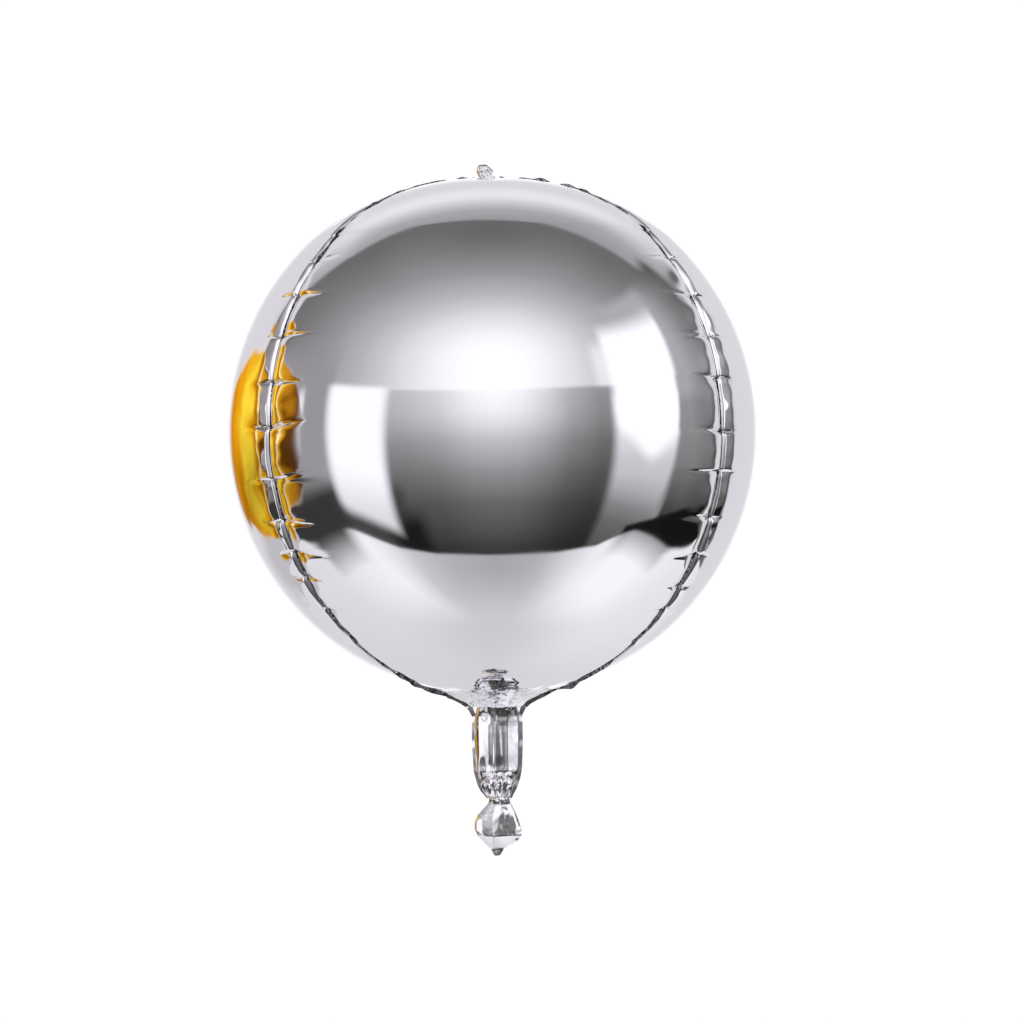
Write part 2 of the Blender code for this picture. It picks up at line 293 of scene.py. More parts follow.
def reliefAt(seam, angle, away, kind):
    # how far the film lies below the smooth ball, at a distance away from one seam
    along = math.radians(angle) * ball["radius"]
    latitudes = [p[seam] for p in puckers]
    share = 0.0
    tilt = pillowTilt[seam][0]
    for k, latitude in enumerate(latitudes):
        if k and latitude <= angle <= latitudes[k - 1]:
            share = (latitudes[k - 1] - angle) / (latitudes[k - 1] - latitude)
        below = smooth(0.5 + (math.radians(latitude) * ball["radius"] - along) / groove["tiltBlend"])
        tilt += (pillowTilt[seam][k + 1] - tilt) * below
    between = math.sin(math.pi * share)
    sunk = shoulderDepth(seam, along, angle, away, kind, between)
    full = groove["shoulder"][kind][0] + groove["drop"]
    sunk += creaseFold(seam, along, away, kind) * (1.0 - 0.55 * sunk / full)
    swell = groove["pillow"] * (1.0 + 1.2 * strip(along / groove["pillowSize"], seam * 2.7, 4.4))
    sunk -= swell * between ** 1.5 * math.exp(-((away - groove["pillowAt"]) / groove["pillowWidth"]) ** 2)
    sunk += tilt * max(0.0, groove["tiltReach"] - away) ** 2 / (2.0 * groove["tiltReach"])
    crimp = strip(along / groove["crimpSize"], seam * 11.0, away / groove["crimpAcross"]) * groove["crimp"]
    crimp *= math.exp(-away / groove["crimpReach"]) * smooth(away / groove["crimpStart"])
    return sunk * grooveFade(angle) + crimp


# Gathers round the bell, where the film crowds into the neck. Reach and fade are distances from the axis
bell = {
    "reach": 80 * mm,
    "fade": 54 * mm,
    "ridge": 1.9 * mm,
    "ridgeTurn": 3.4,  # how often a ridge comes round the bell
    "fine": 1.2 * mm,
    "fineTurn": 8.5,
    "crumple": (2.2 * mm, 9.0 * mm, 56 * mm, 26 * mm),  # height, size, reach, fade
    "pinch": (1.5 * mm, 7.0 * mm, 82 * mm, 24 * mm),  # the same for the pinched film over the neck
    "pinchHalf": 30 * mm,
    "pinchEdge": 12 * mm,
}


def bellFolds(point):
    out = math.hypot(point.x, point.y)
    if point.z > 0.0 or out > bell["reach"]:
        return 0.0
    turn = math.atan2(point.x, -point.y)
    near = smooth((bell["reach"] - out) / bell["fade"])

    def ring(often, level, rise):
        return abs(strip(math.cos(turn) * often, math.sin(turn) * often, level + out * rise))

    ridges = bell["ridge"] * (0.22 - ring(bell["ridgeTurn"], 2.0, 14.0))
    fine = bell["fine"] * (0.2 - ring(bell["fineTurn"], 9.0, 30.0))
    height, size, reach, fade = bell["crumple"]
    crumple = height * abs(lumps(point, size)) * smooth((reach - out) / fade)
    height, size, reach, fade = bell["pinch"]
    pinch = height * abs(lumps(point, size, 4.0, 2.0, 6.0)) * smooth((reach - out) / fade)
    pinch *= smooth((bell["pinchHalf"] - abs(point.x)) / bell["pinchEdge"])
    return (ridges + fine) * near + crumple + pinch


# Shallow valleys that run out from the gather under the tab: direction, depth in mm, width in radians
crown = {
    "valleys": (
        (0.0, 2.3, 0.17), (1.25, 0.8, 0.2), (2.5, 1.1, 0.16), (-1.2, 0.7, 0.18), (-2.4, 1.0, 0.2),
    ),
    "reach": 70 * mm,
    "fade": 45 * mm,
    "start": 12 * mm,
}


def crownPleats(point):
    out = math.hypot(point.x, point.y)
    if point.z < 0.0 or out > crown["reach"]:
        return 0.0
    turn = math.atan2(point.x, -point.y)
    fade = smooth((crown["reach"] - out) / crown["fade"]) * smooth(out / crown["start"])
    valley = 0.0
    for at, depth, width in crown["valleys"]:
        apart = math.remainder(turn - at, math.tau)
        valley += depth * mm * math.exp(-(apart / width) ** 2)
    return valley * fade


# Slack film: broad, very shallow waves. Height and size of the broad ones and of the small ones
slack = {"broad": (0.10 * mm, 75 * mm), "small": (0.012 * mm, 27 * mm)}


def filmWave(point):
    broad = slack["broad"][0] * lumps(point, slack["broad"][1], 3.0, 1.0, 7.0)
    return broad + slack["small"][0] * lumps(point, slack["small"][1], 9.0, 4.0, 2.0)


def gridSheet(columns, rows, place):
    # a grid whose corners move to place(column, row), row 0 at the top
    sheet = bmesh.new()
    bmesh.ops.create_grid(sheet, x_segments=columns, y_segments=rows, size=0.5)
    for corner in sheet.verts:
        corner.co = place(round((corner.co.x + 0.5) * columns), round((0.5 - corner.co.y) * rows))
    return sheet


def placeInScene(name, sheet, material):
    mesh = bpy.data.meshes.new(name)
    sheet.to_mesh(mesh)
    sheet.free()
    mesh.materials.append(material)
    piece = bpy.data.objects.new(name, mesh)
    bpy.context.scene.collection.objects.link(piece)
    return piece


def finishPiece(name, sheet, material, nodes, sharp=50.0):
    piece = placeInScene(name, sheet, material)
    piece.data.shade_smooth()
    piece.data.set_sharp_from_angle(angle=math.radians(sharp))
    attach(piece, rootBody)
    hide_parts(*nodes)
    return piece


def hazyMirror(name, look):
    # bare metal whose roughness wanders between two values
    material, tree, shader = newMaterial(name)
    shader.inputs["Base Color"].default_value = linear(look["colour"])
    shader.inputs["Metallic"].default_value = 1.0
    place = addNode(tree, "TexCoord").outputs["Object"]
    haze = addNode(
        tree, "TexNoise", {"Scale": 1.0 / look["hazeSize"], "Detail": 3.0}, {"Vector": place},
    )
    glossy, hazy = look["roughness"]
    rough = addNode(
        tree, "MapRange",
        {"From Min": 0.3, "From Max": 0.7, "To Min": glossy, "To Max": hazy}, {"Value": haze},
    )
    tree.links.new(rough.outputs[0], shader.inputs["Roughness"])
    return material, tree, shader, place


# Vacuum-metallised polyester film: a cool mirror whose faint haze and slack soften what it reflects
filmLook = {
    "colour": "#f6f4f9",
    "roughness": (0.035, 0.075),
    "hazeSize": 35 * mm,
    "dimpleSize": 9 * mm,
    "dimpleHeight": 0.004 * mm,
}


def makeMirrorFilm():
    material, tree, shader, place = hazyMirror("vacuumMetallisedFilm", filmLook)
    dimples = addNode(
        tree, "TexNoise", {"Scale": 1.0 / filmLook["dimpleSize"], "Detail": 1.0},
        {"Vector": place},
    )
    bump = addNode(
        tree, "Bump", {"Strength": 1.0, "Distance": filmLook["dimpleHeight"]},
        {"Height": dimples},
    )
    tree.links.new(bump.outputs[0], shader.inputs["Normal"])
    return material


# Heat-welded margin: two films pressed together, the sealed metal a little dull. Its dark grey is painted
# shade of the groove, broken by bright grains that are painted glints
marginLook = {
    # dark is painted shade of the groove, bright is painted glints
    "dark": "#3c3b40",
    "bright": "#a9a8ae",
    "roughness": 0.24,
    "grain": 2.2 * mm,
    "grainHeight": 0.10 * mm,
}


def makeWeldedFilm():
    material, tree, shader = newMaterial("heatWeldedFilm")
    shader.inputs["Metallic"].default_value = 1.0
    shader.inputs["Roughness"].default_value = marginLook["roughness"]
    coord = addNode(tree, "TexCoord")
    grain = addNode(
        tree, "TexNoise", {"Scale": 1.0 / marginLook["grain"], "Detail": 2.0},
        {"Vector": coord.outputs["Object"]},
    )
    # share of painted glint against painted shade, grain by grain
    shadeToGlints = addNode(tree, "MapRange", {"From Min": 0.42, "From Max": 0.62}, {"Value": grain})
    colour = addNode(
        tree, "Mix",
        {"data_type": "RGBA", 6: linear(marginLook["dark"]), 7: linear(marginLook["bright"])},
        {0: shadeToGlints},
    )
    tree.links.new(colour.outputs[2], shader.inputs["Base Color"])
    bump = addNode(
        tree, "Bump", {"Strength": 0.8, "Distance": marginLook["grainHeight"]},
        {"Height": grain},
    )
    tree.links.new(bump.outputs[0], shader.inputs["Normal"])
    return material


# Hand-crumpled film: the same mirror with crow's-foot creases, where the metal is crazed and hazy
crumpleLook = {
    "colour": "#f3f2f6",
    "roughness": (0.06, 0.16),
    "hazeSize": 6 * mm,
    "creaseSize": 5 * mm,
    "creaseHeight": 0.09 * mm,
}


def makeCrumpledFilm():
    material, tree, shader, place = hazyMirror("handCrumpledFilm", crumpleLook)
    cells = addNode(
        tree, "TexVoronoi",
        {"feature": "F1", "Scale": 1.0 / crumpleLook["creaseSize"], "Randomness": 1.0},
        {"Vector": place},
    )
    bump = addNode(
        tree, "Bump", {"Strength": 0.5, "Distance": crumpleLook["creaseHeight"]},
        {"Height": cells},
    )
    tree.links.new(bump.outputs[0], shader.inputs["Normal"])
    return material


mirrorFilm = makeMirrorFilm()
weldedFilm = makeWeldedFilm()
crumpledFilm = makeCrumpledFilm()

# Film panels: piece, CAD nodes it stands for, left seam, right seam, last row, kind, columns in half
panels = (
    ("frontGoreFilm", ("front_gore", "neck_bell_front"), 3, 0, ball["bellEnd"], "wide", 52),
    ("rightGoreFilm", ("right_gore",), 0, 1, -78.2, "side", 38),
    ("backGoreFilm", ("back_gore", "neck_bell_back"), 1, 2, ball["bellEnd"], "wide", 52),
    ("leftGoreFilm", ("left_gore",), 2, 3, -78.2, "side", 38),
)
evenColumns = 0.13  # share of the columns that are spaced evenly, the rest crowd towards the seams
bellLip = {"rows": 5, "inward": 0.17, "drop": 0.6 * mm}  # the lip that rolls in over the neck


def makePanel(panel):
    name, nodes, left, right, bottom, kind, half = panel
    rowsLeft, rowsRight = seamRows(left, bottom), seamRows(right, bottom)
    span = (seams[right][1] - seams[left][1]) % 360.0
    halfWidth = ball["radius"] * math.radians(span) / 2.0
    shares = [0.5 * (evenColumns * j / half + (1.0 - evenColumns) * (j / half) ** 3) for j in range(half)]
    shares = shares + [0.5] + [1.0 - s for s in reversed(shares)]
    extra = bellLip["rows"] if bottom == ball["bellEnd"] else 0
    last = len(rowsLeft) - 1

    def place(column, row):
        share = shares[column]
        onFilm = min(row, last)
        angle = rowsLeft[onFilm] + (rowsRight[onFilm] - rowsLeft[onFilm]) * smooth(share)
        start = seamLongitude(left, angle) + edgeTurn(left, angle)
        turn = (seamLongitude(right, angle) - edgeTurn(right, angle) - start) % 360.0
        away = halfWidth * 2.0 * min(share, 1.0 - share)
        sunk = reliefAt(left if share < 0.5 else right, angle, away, kind)
        point = filmPoint(angle, start + turn * share, sunk)
        sunk += bellFolds(point) + crownPleats(point) + filmWave(point)
        point = filmPoint(angle, start + turn * share, sunk)
        if row > last:
            hook = (row - last) / extra
            inward = 1.0 - bellLip["inward"] * hook
            height = point.z - bellLip["drop"] * math.sin(math.pi * hook)
            point = Vector((point.x * inward, point.y * inward, height))
        return point

    sheet = gridSheet(len(shares) - 1, last + extra, place)
    bmesh.ops.recalc_face_normals(sheet, faces=sheet.faces)
    middle = min(sheet.faces, key=lambda f: abs(f.calc_center_median().z))
    if middle.normal.dot(middle.calc_center_median()) < 0.0:
        bmesh.ops.reverse_faces(sheet, faces=sheet.faces)
    bmesh.ops.solidify(sheet, geom=sheet.faces, thickness=groove["film"])
    return finishPiece(name, sheet, mirrorFilm, nodes)


for panel in panels:
    makePanel(panel)
print("film panels made")

# Welded margins: thin fins that stand in the grooves
margin = {
    "rows": 640,
    "columns": 3,
    "top": ball["crownEnd"] - 0.6,
    "end": -79.0,
    "inside": 1.4 * mm,
    "outside": 1.2 * mm,
    # an extra or a share, the latitude where it starts, and over how many degrees
    "crownExtra": (1.9 * mm, 40.0, 30.0),
    "levelShare": (0.20, 22.0, 22.0),
    "baseExtra": (1.7 * mm, -52.0, 14.0),
    "baseLean": (0.9 * mm, -54.0, 10.0),  # near the neck the margins lie over towards the side gores
    "thickness": 0.5 * mm,
    "patchSize": 13 * mm,  # the trimmed edge is uneven at this size
    "sway": 0.8 * mm,
    "swaySize": 17 * mm,
    "crinkle": 0.7 * mm,
    "crinkleSize": 2.6 * mm,
    "notch": 0.25,  # share of the fin that is pinched away at a crease
    "notchWidth": 0.9,
}
marginNames = ("seamFrontRightMargin", "seamBackRightMargin", "seamBackLeftMargin", "seamFrontLeftMargin")
leanSide = (1, -1, 1, -1)


def marginOutside(seam, angle, along):
    uneven = 0.5 + strip(along / margin["patchSize"], seam * 9.0, 8.0)
    extra, start, length = margin["crownExtra"]
    outside = margin["outside"] * (0.25 + 1.5 * uneven)
    outside += extra * smooth((angle - start) / length) * uneven
    least, start, length = margin["levelShare"]
    outside *= least + (1.0 - least) * smooth((abs(angle) - start) / length)
    extra, start, length = margin["baseExtra"]
    return outside + extra * smooth((start - angle) / length)


def makeMargin(seam):
    def place(column, row):
        angle = margin["top"] + (margin["end"] - margin["top"]) * row / margin["rows"]
        along = math.radians(angle) * ball["radius"]
        outward = column / margin["columns"]
        lift = margin["inside"] - (margin["inside"] + marginOutside(seam, angle, along)) * outward
        if lift < 0.0:
            nearest = min(abs(angle - p[seam]) for p in puckers)
            lift *= 1.0 - margin["notch"] * math.exp(-(nearest / margin["notchWidth"]) ** 2)
        sway = margin["sway"] * strip(along / margin["swaySize"], seam * 5.0, 1.0)
        sway += margin["crinkle"] * strip(along / margin["crinkleSize"], seam * 5.0, 4.0)
        lean, start, length = margin["baseLean"]
        sway += lean * smooth((start - angle) / length) * leanSide[seam]
        longitude = seamLongitude(seam, angle)
        out = max(meridian(angle, longitude)[0], 4 * mm)
        return filmPoint(angle, longitude + math.degrees(sway * outward / out), grooveDepth(angle) + lift)

    sheet = gridSheet(margin["columns"], margin["rows"], place)
    bmesh.ops.recalc_face_normals(sheet, faces=sheet.faces)
    bmesh.ops.solidify(sheet, geom=sheet.faces, thickness=margin["thickness"])
    return finishPiece(marginNames[seam], sheet, weldedFilm, (seams[seam][0],))


for seam in range(len(seams)):
    makeMargin(seam)
print("welded margins made")

calmFade = 5 * mm  # over this height a calm stretch of folds begins and ends


def foldedSkin(
    rows, cuts, soften, crumple, crumpleSize, backShare, calm=(0.0, 0.0, 1.0), stagger=(0.0, 0.0, 0.0),
):
    # closed body of flat folds: a row is a height, the x of its fold lines and how far each stands forward
    count = len(rows[0][1])
    ring = 2 * (count - 1)

    def place(column, row):
        height, across, forward = rows[row]
        column %= ring
        if stagger[1] < height < stagger[0] and column not in (0, count - 1):
            height += stagger[2] * math.sin(column * 2.4 + row * 1.9)
        if column < count:
            return Vector((across[column], -forward[column], height)) * mm
        k = ring - column
        mirrored = across[0] + across[-1] - across[count - 1 - k]
        return Vector((mirrored, forward[count - 1 - k] * backShare, height)) * mm

    skin = gridSheet(ring, len(rows) - 1, place)
    bmesh.ops.remove_doubles(skin, verts=skin.verts, dist=0.01 * mm)
    bmesh.ops.holes_fill(skin, edges=[e for e in skin.edges if e.is_boundary], sides=0)
    bmesh.ops.triangulate(skin, faces=[f for f in skin.faces if len(f.verts) > 4])
    bmesh.ops.subdivide_edges(skin, edges=skin.edges, cuts=cuts, use_grid_fill=True)
    for _ in range(soften):
        bmesh.ops.smooth_vert(
            skin, verts=skin.verts, factor=0.5, use_axis_x=True, use_axis_y=True, use_axis_z=True,
        )
    bmesh.ops.recalc_face_normals(skin, faces=skin.faces)
    skin.normal_update()
    shift = {}
    for corner in skin.verts:
        ridge = abs(lumps(corner.co, crumpleSize * mm, 1.7, 5.1, 2.2))
        fine = abs(lumps(corner.co, crumpleSize * 0.45 * mm, 7.7, 0.1, 3.2))
        within = smooth((calm[0] * mm - corner.co.z) / calmFade)
        within *= smooth((corner.co.z - calm[1] * mm) / calmFade)
        amount = crumple * mm * (1.0 - (1.0 - calm[2]) * within)
        shift[corner] = corner.normal * ((ridge - 0.2) + 0.4 * (fine - 0.2)) * amount
    for corner, move in shift.items():
        corner.co += move
    return skin


# Neck: the filling tube, gathered flat. In mm: height, x of the 15 fold lines, then their reach forward
neck = {
    "rows": (
        (-204, (-14.6, -13.6, -12.2, -10.2, -6.6, -4.4, -3.1, -1.8, 1.2, 2.7, 4.2, 7, 10.9, 14.4, 15.6),
         (0, 6.5, 8.8, 10, 11.4, 11.8, 11.9, 12, 12, 11.9, 11.8, 11.4, 9.6, 6.2, 0)),
        (-209.5, (-15.8, -14.6, -13, -10.4, -6.8, -4.6, -3.1, -1.6, 1.4, 3, 4.6, 7.2, 11.4, 15.4, 16.8),
         (0, 4.6, 6.8, 7.8, 9.6, 10.2, 10.4, 10.6, 9.9, 9.65, 9.4, 9, 7.4, 4.2, 0)),
        (-214, (-16.4, -15.2, -13.4, -10.4, -6.6, -4.8, -3.15, -1.5, 0.6, 3.1, 5.6, 8, 12, 15.9, 17.2),
         (0, 3, 4.9, 6.3, 8, 9.1, 9.5, 9.9, 8.8, 8.3, 7.8, 7.4, 5.6, 2.6, 0)),
        (-217.5, (-16.6, -15.4, -13.5, -10.3, -6.2, -4.8, -3.1, -1.4, -0.4, 2.3, 5, 7.6, 12.05, 16.2, 17.3),
         (0, 2.7, 4.6, 6.2, 8.1, 9, 9.3, 9.6, 9, 8.45, 7.9, 7.4, 5.15, 2.2, 0)),
        (-221, (-16.8, -15.6, -13.6, -10.2, -6.4, -5.2, -3.8, -1.4, -0.2, 4.4, 5.8, 7.6, 12, 16.3, 17.4),
         (0, 2.8, 4.8, 6.5, 8.4, 8.8, 9, 10, 9.6, 7.5, 7.2, 7, 4.7, 2, 0)),
        (-226, (-16.9, -15.7, -13.7, -10.3, -6.5, -5.3, -3.9, -1.6, 0.9, 4.3, 5.8, 7.7, 12, 16.3, 17.4),
         (0, 3, 5.2, 6.9, 8.7, 9.1, 9.3, 10.3, 9.4, 7.8, 7.4, 7.1, 4.6, 1.8, 0)),
        (-234, (-17, -15.7, -13.8, -10.4, -6.6, -5.3, -3.9, -1.7, 1.7, 4.2, 5.8, 7.8, 12, 16.3, 17.4),
         (0, 3, 5.3, 7, 8.8, 9.2, 9.4, 10.4, 9.1, 7.9, 7.4, 7.1, 4.5, 1.7, 0)),
        (-243, (-16.6, -15.4, -13.6, -10, -6.3, -5.1, -3.8, -1.7, 1.9, 4.2, 5.7, 7.8, 11.8, 15.9, 17),
         (0, 3.1, 5.2, 6.9, 8.6, 9, 9.2, 10.2, 8.9, 7.8, 7.3, 7, 4.4, 1.6, 0)),
        (-251, (-16.2, -15.4, -14.4, -9.6, -7.4, -5.6, -3.9, -1.7, 2.5, 4.8, 6, 7.8, 11.6, 15.7, 16.6),
         (0, 3, 4.2, 5.6, 6.6, 7.4, 8, 9, 7.4, 7, 6.7, 6.5, 4.1, 1.5, 0)),
        (-255.5, (-16, -15.2, -14, -8.8, -5.4, -4.4, -2.9, -1.4, 2.5, 3.85, 5.2, 7.8, 11.6, 14.9, 16),
         (0, 3.2, 4.8, 6.8, 8.4, 9, 9.1, 9.2, 7.8, 7.5, 7.2, 6.6, 4.1, 1.6, 0)),
        (-260.5, (-14.6, -13.6, -12.2, -8.6, -5.6, -3.8, -2.3, -0.8, 2.2, 3.5, 4.8, 7.4, 11, 14.2, 15.2),
         (0, 1.6, 2.6, 3.8, 5, 5.8, 6, 6.2, 4.8, 4.4, 4, 4.2, 2, 0.8, 0)),
        (-265, (-13.4, -12.4, -11, -8, -5.4, -3.2, -1.8, -0.4, 2.2, 3.3, 4.4, 6.8, 9.8, 12.6, 13.6),
         (0, 1.6, 2.8, 4.2, 5.4, 6.3, 6.45, 6.6, 5.6, 5.3, 5, 4.6, 2.8, 1, 0)),
        (-270, (-11.6, -10.8, -9.6, -7.2, -5, -3, -1.8, -0.6, 1.8, 2.8, 3.8, 5.8, 8.6, 10.8, 11.8),
         (0, 0.8, 1.4, 2.2, 3.7, 4.5, 4.15, 3.8, 2.8, 2.9, 3, 2.4, 1.7, 0.7, 0)),
        (-276, (-7.6, -7, -6, -4.6, -3.2, -2, -1.3, -0.6, 1.2, 2.1, 3, 4.6, 7.1, 9, 9.8),
         (0, 1.3, 2.2, 2.8, 3.6, 4.4, 4.4, 4.4, 3.8, 3.6, 3.4, 3.6, 2.4, 1.1, 0)),
    ),
    "calm": (-216, -254, 0.22),  # between these heights the folds run straight, with fewer crumples
    "stagger": (-257, -274, 2.6),  # between these the corners of the folds lie at uneven heights
    "cuts": 5, "soften": 2, "crumple": 0.26, "crumpleSize": 4.2, "backShare": 0.95,
}
neckSkin = foldedSkin(**neck)
finishPiece("neckFolds", neckSkin, mirrorFilm, ("neck_front", "neck_back"), 35.0)

# Cinch: the film wrung tight under the neck
cinch = {
    "rows": (
        (-274.6, (-7, -6.2, -5, -3.5, -2, -0.4, 0.6, 2, 3.5, 4.6, 6, 7.4, 8.5, 9.2),
         (0, 1.6, 2.7, 3.5, 3.8, 4.1, 5.2, 5.5, 4.9, 4, 4.3, 3.1, 1.6, 0)),
        (-276.4, (-7, -6.4, -4.8, -2.7, -1.2, 0.4, 1.4, 2.8, 4, 5.2, 6.4, 7.6, 8.6, 9.3),
         (0, 2.4, 4.4, 5, 4.4, 5.2, 6.2, 6, 5, 5.4, 4.8, 3.6, 2, 0)),
        (-278.2, (-7.2, -6.4, -4.4, -2, -0.3, 1.4, 2.4, 3.6, 4.8, 6, 7, 8, 8.9, 9.6),
         (0, 2.2, 4, 4.8, 5.6, 4.6, 5.8, 5.2, 5.4, 4.4, 4.4, 3.2, 1.8, 0)),
        (-280.6, (-7.6, -6.6, -5, -3, -1, 0.8, 2, 3.4, 4.8, 6.2, 7.4, 8.4, 9.3, 10),
         (0, 1.8, 3.2, 4, 4.6, 4.8, 5.2, 5, 4.6, 4, 3.6, 2.6, 1.4, 0)),
    ),
    "cuts": 3, "soften": 2, "crumple": 0.25, "crumpleSize": 3, "backShare": 0.95,
}
cinchSkin = foldedSkin(**cinch)
finishPiece("cinchTwist", cinchSkin, crumpledFilm, ("neck_cinch",), 35.0)

# Tail: the spare film below the cinch, folded like a kite
tail = {
    "rows": (
        (-279.4, (-7.4, -6.6, -5, -3.6, -1.6, 1.6, 5.2, 8.6, 9.6),
         (0, 2, 3, 3.5, 4.2, 4.2, 3.2, 1.9, 0)),
        (-283.3, (-11, -10.2, -7.6, -5.2, -2.6, 2.4, 6.4, 10.6, 11.6),
         (0, 2.2, 3.6, 4.4, 5.6, 5.4, 3.8, 1.7, 0)),
        (-288, (-15.6, -14.6, -10.6, -7, -3.6, 1.6, 7, 12.6, 13.8),
         (0, 2.6, 4.8, 6, 7.2, 6.9, 4.6, 2, 0)),
        (-294, (-18, -17, -12.8, -8, -4.4, -0.6, 6.8, 13.6, 15.8),
         (0, 2.9, 5.4, 7.1, 8.3, 7.8, 4.9, 2.2, 0)),
        (-300, (-18.2, -17.2, -12.6, -7, -4, 0, 7, 13.2, 17.6),
         (0, 3.4, 6.2, 8, 9, 8, 5.2, 2.9, 0)),
        (-304, (-16.4, -15.4, -11.6, -6.6, -3.9, 0.6, 7.4, 13, 17.9),
         (0, 3.4, 6.2, 8.3, 9.4, 8, 5.2, 2.6, 0)),
        (-309, (-11.2, -10.4, -8.6, -5.9, -3.7, 0.8, 6.2, 10.6, 14.6),
         (0, 1.6, 3.4, 4.8, 5.4, 4.4, 2.8, 1.3, 0)),
        (-314.3, (-6.4, -5.8, -5, -4, -2.9, -0.6, 1.4, 3, 4.2),
         (0, 0.5, 0.9, 1.1, 1.2, 1, 0.8, 0.5, 0)),
        (-319.6, (-3.6, -3.2, -2.8, -2.3, -1.8, -1.3, -0.5, 0.2, 1),
         (0, 0.4, 0.6, 0.8, 0.9, 0.8, 0.6, 0.4, 0)),
    ),
    "calm": (-302, -320, 0.4),
    "cuts": 5, "soften": 2, "crumple": 0.34, "crumpleSize": 4.5, "backShare": 0.85,
}
tailSkin = foldedSkin(**tail)
finishPiece("tailFan", tailSkin, crumpledFilm, ("tail_front", "tail_back"), 35.0)
print("neck, cinch and tail made")

# Margins down the bell and the neck's sides, in the plane of the side seams
neckMargin = {
    "start": -78.6,  # latitude on the bell
    "bellRows": 26,
    "columns": 4,
    "step": 0.9 * mm,
    "width": 2.0 * mm,
    "bellExtra": 1.4 * mm,
    "bellFoot": -214 * mm,  # the extra width fades in from this height up
    "root": 1.0 * mm,
    "thickness": 0.6 * mm,
    "back": 0.38,  # how far the fin leans back, share of its reach
    "uneven": 0.25 * mm,
    "wave": 0.35 * mm,
}


def makeNeckMargin(node, name, side):
    path = []
    last = neckMargin["bellRows"] - 1
    for k in range(last + 1):
        angle = neckMargin["start"] + (ball["bellEnd"] - neckMargin["start"]) * k / last
        out, height = meridian(angle, 90.0)
        path.append(Vector((out, 0.0, height)))
    for height, across, _ in neck["rows"][2:]:
        path.append(Vector(((across[-1] if side > 0 else -across[0]), 0.0, height)) * mm)
    fine = []
    for k in range(len(path) - 1):
        steps = max(2, round((path[k + 1] - path[k]).length / neckMargin["step"]))
        fine += [path[k].lerp(path[k + 1], j / steps) for j in range(steps)]
    fine.append(path[-1])

    def place(column, row):
        here = fine[row]
        run = fine[min(row + 2, len(fine) - 1)] - fine[max(row - 2, 0)]
        outward = Vector((-run.z, 0.0, run.x)).normalized()
        share = row / (len(fine) - 1)
        fade = smooth(share / 0.02) * smooth((1.0 - share) / 0.10)
        outer = column / neckMargin["columns"]
        onBell = smooth((here.z - neckMargin["bellFoot"]) / (10 * mm))
        width = neckMargin["width"] + neckMargin["bellExtra"] * onBell
        reach = -neckMargin["root"] + (neckMargin["root"] + width * (0.35 + 0.65 * fade)) * outer
        reach += neckMargin["uneven"] * strip(row * 0.11, side, 3.0) * outer
        wave = 2.0 * neckMargin["wave"] * strip(row * 0.09, side * 3.0, 7.0) * outer
        point = here + outward * reach
        return Vector((side * point.x, point.y + wave + neckMargin["back"] * reach, point.z))

    sheet = gridSheet(neckMargin["columns"], len(fine) - 1, place)
    bmesh.ops.recalc_face_normals(sheet, faces=sheet.faces)
    bmesh.ops.solidify(sheet, geom=sheet.faces, thickness=neckMargin["thickness"])
    return finishPiece(name, sheet, crumpledFilm, (node,))


makeNeckMargin("neck_seam_right", "neckMarginRight", 1)
makeNeckMargin("neck_seam_left", "neckMarginLeft", -1)
print("neck margins made")

# Hanging tab: a curled scrap of film on the crown
crownTop = meridian(ball["crownEnd"], 0.0)[1] / mm
tab = {
    "rows": (
        (12.4, (-6.4, -5.6, -4.6, -3.4, -2.2, -1.2, -0.6), (0, 0.5, 0.8, 0.9, 0.8, 0.5, 0)),
        (10.6, (-8.2, -7, -5.4, -3.6, -1.8, 0, 1.6), (0, 1.4, 2.2, 2.3, 2.1, 1.5, 0)),
        (7.8, (-8.9, -7.4, -5.4, -3.4, -1.4, 1.4, 4), (0, 1.9, 1.3, 0.5, 0.9, 2.2, 0)),
        (4.8, (-8.2, -6.6, -4.6, -2.6, 0, 2.8, 5.2), (0, 1.6, 0.5, 0.6, 1.9, 1.2, 0)),
        (2, (-6.4, -4.8, -3, -0.6, 1.6, 3.6, 5.4), (0, 1.1, 2, 1.2, 0.6, 1.4, 0)),
        (-1, (-4.8, -3.4, -1.8, 0, 1.8, 3.2, 4.4), (0, 1, 1.6, 1.8, 1.5, 0.9, 0)),
    ),
    "cuts": 4, "soften": 2, "crumple": 0.5, "crumpleSize": 2.6, "backShare": 0.9,
}
tabRows = [(height + crownTop, across, forward) for height, across, forward in tab["rows"]]
tabSkin = foldedSkin(**{**tab, "rows": tabRows})
finishPiece("hangingTabCurl", tabSkin, crumpledFilm, ("hanging_tab",), 35.0)

# Gather under the tab, pleated where the four gores meet
gather = {
    "radius": 9.0 * mm,
    "segments": 112,
    "rings": 7,
    "rise": 1.0 * mm,
    "pleats": 14,
    "pleatHeight": 0.45 * mm,
    "thickness": 1.6 * mm,
}


